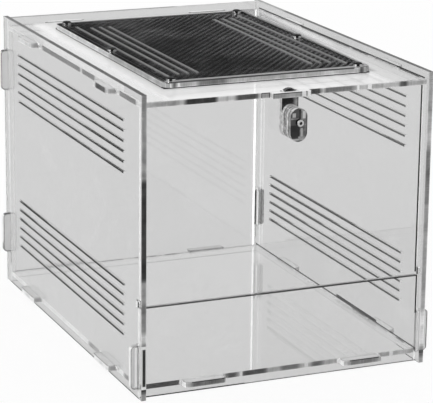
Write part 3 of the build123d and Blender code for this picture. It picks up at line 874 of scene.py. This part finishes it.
# cards in the band, in degrees: middle as bearing and height, half length and half width as steps in both,
# and strength. The vent cover mirrors the first two, a bright card and a dark one on it, and the rest darken it
# when it is seen from other sides
cards = [
    ((22.5, 11.9), (3.9, 0.1), (0.4, 1.3), 0.95),
    ((22.95, 11.48), (2.76, -0.23), (1.65, 0.79), 0.015),
    ((95.0, 15.0), (32.0, 0.0), (0.0, 8.0), 0.1),
    ((150.0, 16.0), (10.0, 0.0), (0.0, 5.0), 0.1),
    ((-155.0, 16.0), (10.0, 0.0), (0.0, 5.0), 0.1),
    ((-95.0, 15.0), (32.0, 0.0), (0.0, 8.0), 0.1),
    ((46.0, 15.0), (15.0, 0.0), (0.0, 8.0), 0.1),
    ((2.0, 15.0), (13.0, 0.0), (0.0, 8.0), 0.1),
    ((-50.0, 15.0), (12.0, 0.0), (0.0, 8.0), 0.1),
    ((133.0, 15.0), (7.0, 0.0), (0.0, 8.0), 0.1),
    ((-135.0, 15.0), (9.0, 0.0), (0.0, 8.0), 0.1),
    ((23.0, 14.9), (8.5, 0.0), (0.0, 1.2), 0.1),
    ((180.0, 15.0), (16.0, 0.0), (0.0, 8.0), 0.1),
    ((-180.0, 15.0), (16.0, 0.0), (0.0, 8.0), 0.1),
    ((-25.0, 16.0), (12.0, 0.0), (0.0, 5.0), 0.1),
]


def addWorld():
    # bearing = atan2(x, y) and height = asin(z) of the ray, in degrees; table grey below the band, grey in
    # it, bright above it, and each card is a turned rectangle with soft sides painted over them
    world = bpy.data.worlds.new("studio")
    scene.world = world
    world.use_nodes = True
    tree = world.node_tree
    tree.nodes.clear()
    ray = addNode(tree, "ShaderNodeSeparateXYZ", {
        0: addNode(tree, "ShaderNodeTexCoord").outputs["Generated"]})
    turn = addNode(tree, "ShaderNodeMath", {0: ray.outputs["X"], 1: ray.outputs["Y"]}, operation="ARCTAN2")
    rise = addNode(tree, "ShaderNodeMath", {0: ray.outputs["Z"]}, operation="ARCSINE")
    both = addNode(tree, "ShaderNodeCombineXYZ", {"X": turn.outputs[0], "Y": rise.outputs[0]})
    angles = addNode(tree, "ShaderNodeVectorMath", {
        0: both.outputs[0], "Scale": 180 / np.pi}, operation="SCALE")
    height = addNode(tree, "ShaderNodeSeparateXYZ", {0: angles.outputs[0]})
    low = addNode(tree, "ShaderNodeMapRange", {
        "Value": height.outputs["Y"], "From Min": studio["bandFrom"][0], "From Max": studio["bandFrom"][1],
        "To Min": toLinear(studio["table"])[0], "To Max": studio["band"]}, interpolation_type="SMOOTHSTEP")
    high = addNode(tree, "ShaderNodeMapRange", {
        "Value": height.outputs["Y"], "From Min": studio["domeFrom"][0], "From Max": studio["domeFrom"][1],
        "To Min": 0.0, "To Max": studio["dome"]}, interpolation_type="SMOOTHSTEP")
    value = addNode(tree, "ShaderNodeMath", {0: low.outputs[0], 1: high.outputs[0]}, operation="MAXIMUM")
    for middle, halfLength, halfWidth, strength in cards:
        shape = np.linalg.inv(np.array([halfLength, halfWidth]).T)
        apart = addNode(tree, "ShaderNodeVectorMath", {
            0: angles.outputs[0], 1: (*middle, 0)}, operation="SUBTRACT").outputs[0]
        reach = 0.0
        for row in shape:
            along = addNode(tree, "ShaderNodeVectorMath", {0: apart, 1: (*row, 0)}, operation="DOT_PRODUCT")
            size = addNode(tree, "ShaderNodeMath", {0: along.outputs["Value"]}, operation="ABSOLUTE")
            reach = addNode(tree, "ShaderNodeMath", {
                0: size.outputs[0], 1: reach}, operation="MAXIMUM").outputs[0]
        mask = addNode(tree, "ShaderNodeMapRange", {
            "Value": reach, "From Min": 1 + studio["cardEdge"], "From Max": 1 - studio["cardEdge"]},
            interpolation_type="SMOOTHSTEP")
        value = addNode(tree, "ShaderNodeMix", {0: mask.outputs[0], 2: value.outputs[0], 3: strength})
    path = addNode(tree, "ShaderNodeLightPath")
    seen = addNode(tree, "ShaderNodeBackground", {"Color": toLinear("#ffffff"), "Strength": 1.0})
    around = addNode(tree, "ShaderNodeBackground", {"Color": value.outputs[0], "Strength": 1.0})
    mix = addNode(tree, "ShaderNodeMixShader", {
        0: path.outputs["Is Camera Ray"], 1: around.outputs[0], 2: seen.outputs[0]})
    addNode(tree, "ShaderNodeOutputWorld", {"Surface": mix.outputs[0]})


def addFloor():
    # a square of matt paint, lifted towards plain white so that little more than the object's shadow shows
    half = studio["floorSize"] / 2
    mesh = bpy.data.meshes.new("studioFloor")
    mesh.from_pydata(
        [(x, y, -studio["floorDrop"])
         for x, y in ((-half, -half), (half, -half), (half, half), (-half, half))],
        [], [(0, 1, 2, 3)])
    floor = bpy.data.objects.new("studioFloor", mesh)
    scene.collection.objects.link(floor)
    material, tree = newMaterial("paleTable")
    path = addNode(tree, "ShaderNodeLightPath")
    paint = addNode(tree, "ShaderNodeBsdfDiffuse", {"Color": toLinear(studio["floorPaint"])})
    white = addNode(tree, "ShaderNodeEmission", {"Color": toLinear("#ffffff")})
    grey = addNode(tree, "ShaderNodeEmission", {"Color": toLinear(studio["table"])})
    glow = addNode(tree, "ShaderNodeMixShader", {
        0: path.outputs["Is Camera Ray"], 1: grey.outputs[0], 2: white.outputs[0]})
    mix = addNode(tree, "ShaderNodeMixShader", {
        0: studio["floorGlow"], 1: paint.outputs[0], 2: glow.outputs[0]})
    addNode(tree, "ShaderNodeOutputMaterial", {"Surface": mix.outputs[0]})
    mesh.materials.append(material)


def addKey():
    key = bpy.data.objects.new("softKey", bpy.data.lights.new("softKey", "SUN"))
    key.data.energy = studio["keyStrength"]
    key.data.angle = radians(studio["keyAngle"])
    key.rotation_euler = Vector(studio["keyFrom"]).to_track_quat("Z", "Y").to_euler()
    scene.collection.objects.link(key)


addWorld()
addFloor()
addKey()
print("studio lit")
